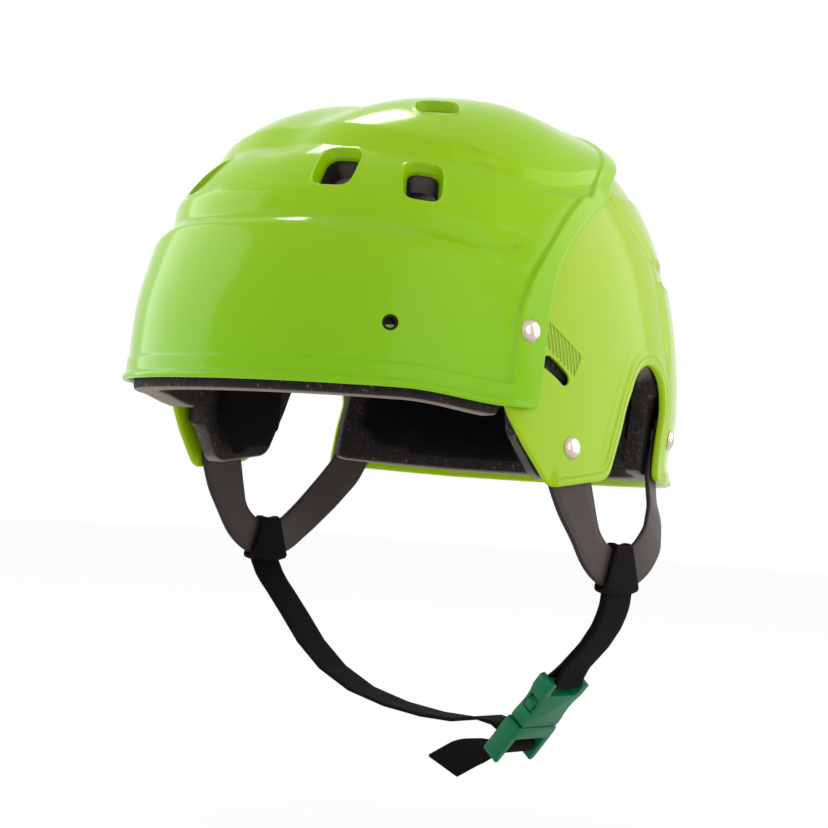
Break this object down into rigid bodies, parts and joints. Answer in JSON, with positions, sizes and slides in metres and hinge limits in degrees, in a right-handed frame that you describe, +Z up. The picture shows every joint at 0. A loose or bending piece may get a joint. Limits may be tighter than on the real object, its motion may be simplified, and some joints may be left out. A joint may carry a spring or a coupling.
{
  "type": "skate helmet",
  "caption": "Riveted shell helmet with an overlapping front shell, ear flaps, vents, foam liner, ear straps and a chin strap with a side-release buckle.",
  "frame": {"origin": "middle of the head opening, level with the lower edge of the brim", "axes": "+X to the wearer's left, -Y to the front, +Z up to the crown"},
  "size_m": [0.2162, 0.2649, 0.29],
  "materials": {
    "shell": "glossy lime-green moulded shell",
    "foam": "dark speckled foam",
    "pad": "black cloth-covered soft foam",
    "ear_strap": "smooth dark brown flexible strap",
    "nickel": "polished nickel",
    "washer": "plain steel",
    "insert": "dull threaded metal",
    "webbing": "black woven webbing",
    "buckle": "satin green moulded plastic"
  },
  "bodies": {
    "helmet": {"front_shell": "shell", "rear_shell": "shell", "front_liner": "foam", "rear_liner": "foam", "brow_pad": "pad", "left_temple_pad": "pad", "right_temple_pad": "pad", "nape_pad": "pad", "crown_pad": "pad", "left_ear_strap": "ear_strap", "right_ear_strap": "ear_strap", "seam_rivets": "nickel", "flap_rivets": "nickel", "nape_rivets": "nickel", "seam_washers": "washer", "flap_washers": "washer", "nape_washers": "washer", "left_visor_insert": "insert", "right_visor_insert": "insert"},
    "chin_strap": {"left_sewn_loop": "webbing", "right_sewn_loop": "webbing", "left_webbing": "webbing", "right_webbing": "webbing", "buckle_plug": "buckle"},
    "socket": {"buckle_socket": "buckle"},
    "front_arm": {"front_prong": "buckle"},
    "rear_arm": {"rear_prong": "buckle"}
  },
  "joints": [
    {"name": "chin_strap_swing", "type": "hinge", "parent": "helmet", "child": "chin_strap", "pos_m": [0, 0.02, -0.04], "axis": [1, 0, 0], "range_deg": [-40, 22]},
    {"name": "buckle_release", "type": "slide", "parent": "chin_strap", "child": "socket", "axis": [0.6293, 0, 0.7771], "range_m": [0, 0.02], "deforming": ["left_webbing", "front_prong", "rear_prong"]},
    {"name": "front_prong_press", "type": "hinge", "parent": "chin_strap", "child": "front_arm", "pos_m": [0.06587, 0.0123, -0.13278], "axis": [-0.7771, 0, 0.6293], "range_deg": [0, 14], "stiffness_Nm_per_rad": 0.4},
    {"name": "rear_prong_press", "type": "hinge", "parent": "chin_strap", "child": "rear_arm", "pos_m": [0.06587, 0.0277, -0.13278], "axis": [0.7771, 0, -0.6293], "range_deg": [0, 14], "stiffness_Nm_per_rad": 0.4}
  ]
}
